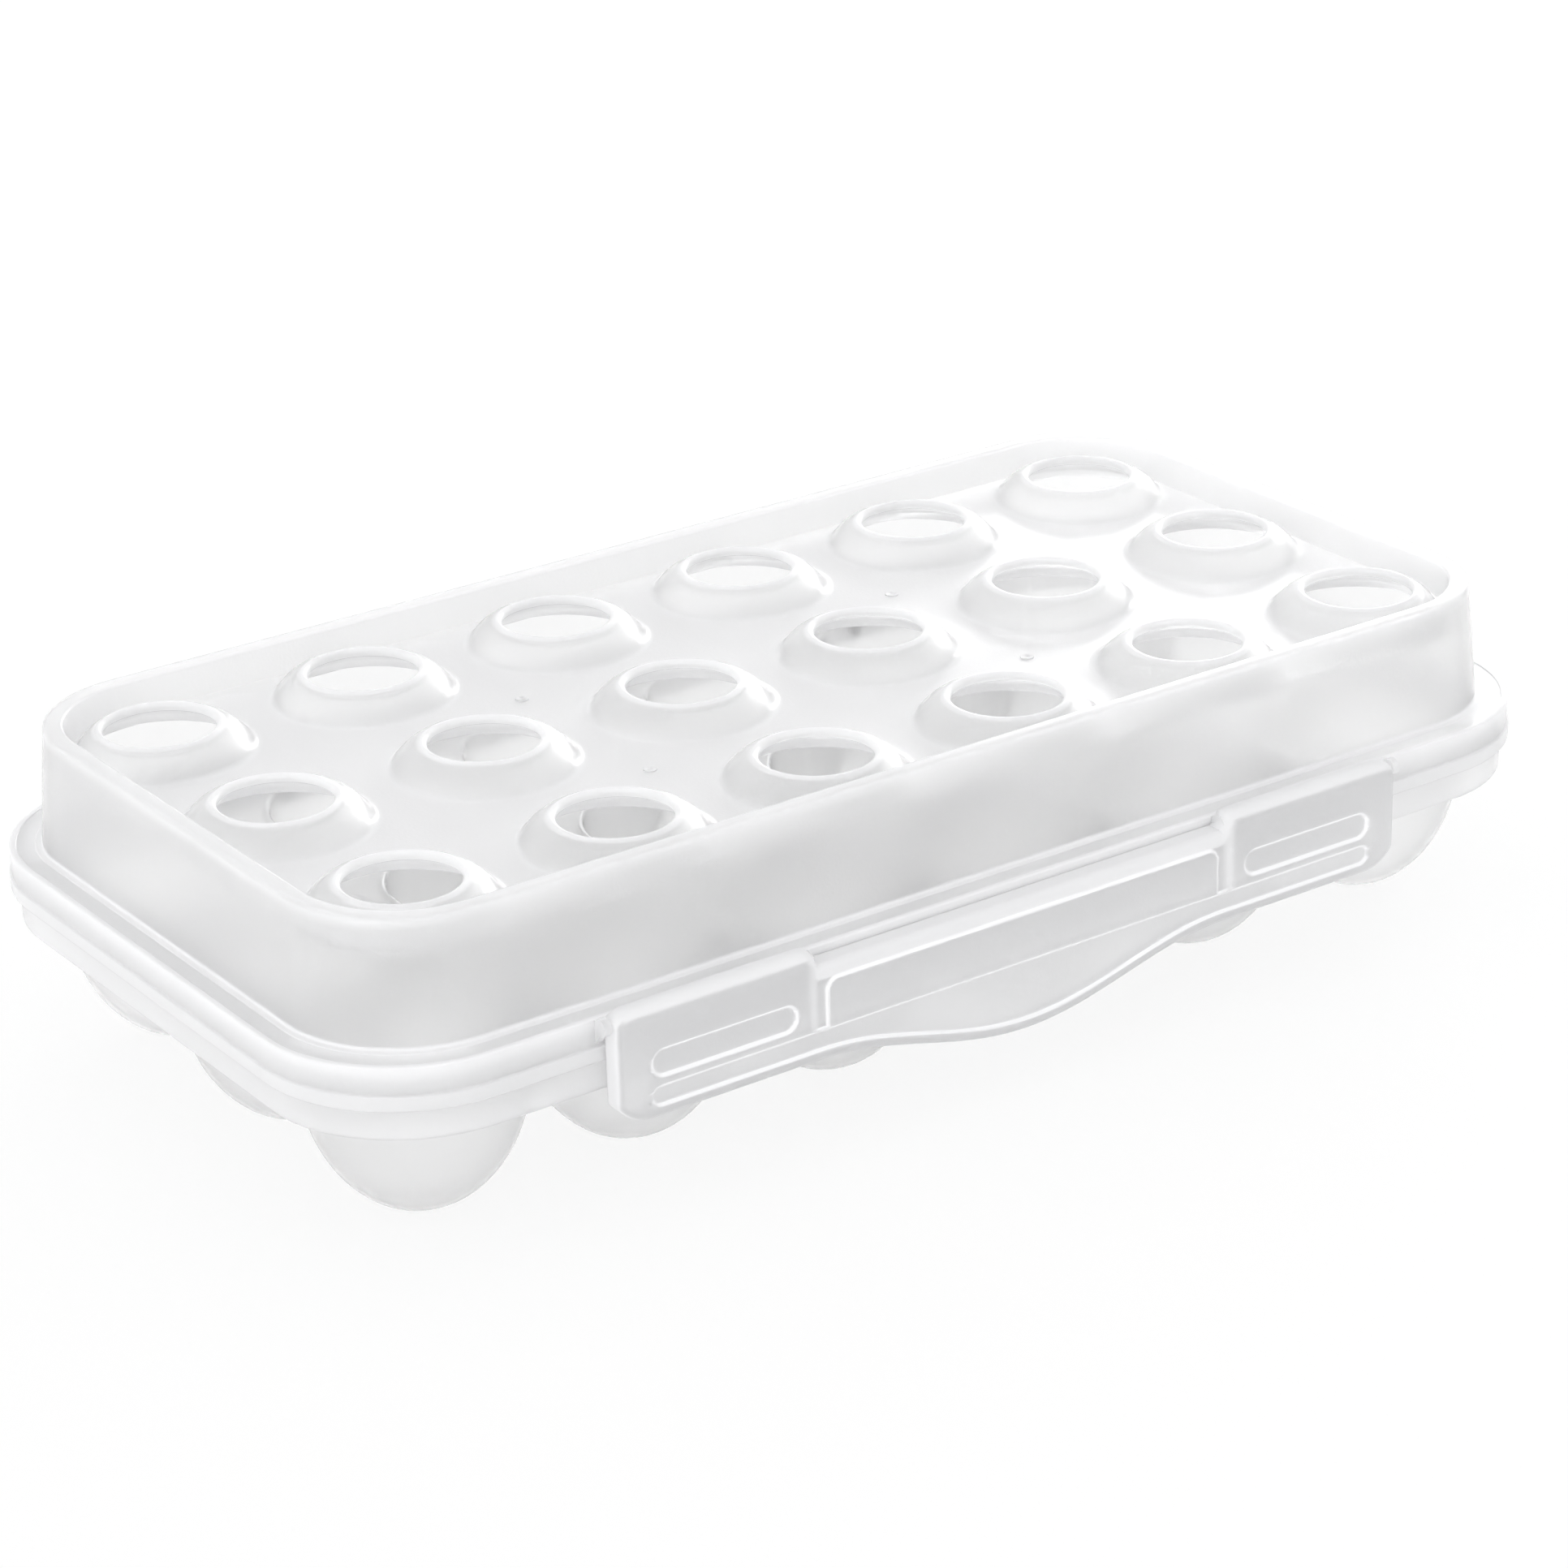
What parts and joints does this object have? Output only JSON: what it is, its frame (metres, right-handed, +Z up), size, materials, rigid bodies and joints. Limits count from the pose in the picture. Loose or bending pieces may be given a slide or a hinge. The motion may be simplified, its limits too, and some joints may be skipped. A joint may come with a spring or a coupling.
{
  "type": "egg keeper with flip lid",
  "caption": "Frosted egg box: a tray of round-bottomed cups, a hinged lid with a domed peephole over each cup, and a long flip latch on the front.",
  "frame": {"origin": "on the table, under the middle of the box; the cups stand on z = 0", "axes": "+X along the long side, -Y towards the latch, +Y towards the hinges, +Z up"},
  "size_m": [0.318, 0.1782, 0.0735],
  "materials": {
    "tray_plastic": "frosted, see-through polypropylene",
    "lid_plastic": "frosted, see-through polypropylene with a satin surface",
    "latch_plastic": "frosted, see-through polypropylene, a little denser"
  },
  "bodies": {
    "tray": {"egg_cup_1_1": "tray_plastic", "egg_cup_1_2": "tray_plastic", "egg_cup_1_3": "tray_plastic", "egg_cup_1_4": "tray_plastic", "egg_cup_1_5": "tray_plastic", "egg_cup_1_6": "tray_plastic", "egg_cup_2_1": "tray_plastic", "egg_cup_2_2": "tray_plastic", "egg_cup_2_3": "tray_plastic", "egg_cup_2_4": "tray_plastic", "egg_cup_2_5": "tray_plastic", "egg_cup_2_6": "tray_plastic", "egg_cup_3_1": "tray_plastic", "egg_cup_3_2": "tray_plastic", "egg_cup_3_3": "tray_plastic", "egg_cup_3_4": "tray_plastic", "egg_cup_3_5": "tray_plastic", "egg_cup_3_6": "tray_plastic", "tray_band": "tray_plastic", "tray_hinge_left": "tray_plastic", "tray_hinge_right": "tray_plastic"},
    "lid": {"peephole_dome_1_1": "lid_plastic", "peephole_dome_1_2": "lid_plastic", "peephole_dome_1_3": "lid_plastic", "peephole_dome_1_4": "lid_plastic", "peephole_dome_1_5": "lid_plastic", "peephole_dome_1_6": "lid_plastic", "peephole_dome_2_1": "lid_plastic", "peephole_dome_2_2": "lid_plastic", "peephole_dome_2_3": "lid_plastic", "peephole_dome_2_4": "lid_plastic", "peephole_dome_2_5": "lid_plastic", "peephole_dome_2_6": "lid_plastic", "peephole_dome_3_1": "lid_plastic", "peephole_dome_3_2": "lid_plastic", "peephole_dome_3_3": "lid_plastic", "peephole_dome_3_4": "lid_plastic", "peephole_dome_3_5": "lid_plastic", "peephole_dome_3_6": "lid_plastic", "lid_rim": "lid_plastic", "lid_walls": "lid_plastic", "lid_flange": "lid_plastic", "lid_knuckle_left": "lid_plastic", "lid_knuckle_right": "lid_plastic", "latch_rod_left": "lid_plastic", "latch_rod_right": "lid_plastic"},
    "latch": {"latch_pad_left": "latch_plastic", "latch_pad_right": "latch_plastic", "latch_grip": "latch_plastic"}
  },
  "joints": [
    {"name": "lid_hinge", "type": "hinge", "parent": "tray", "child": "lid", "pos_m": [0, 0.086, 0.037], "axis": [-1, 0, 0], "range_deg": [0, 180]},
    {"name": "latch_hinge", "type": "hinge", "parent": "lid", "child": "latch", "pos_m": [0, -0.086, 0.0454], "axis": [-1, 0, 0], "range_deg": [0, 150]}
  ]
}
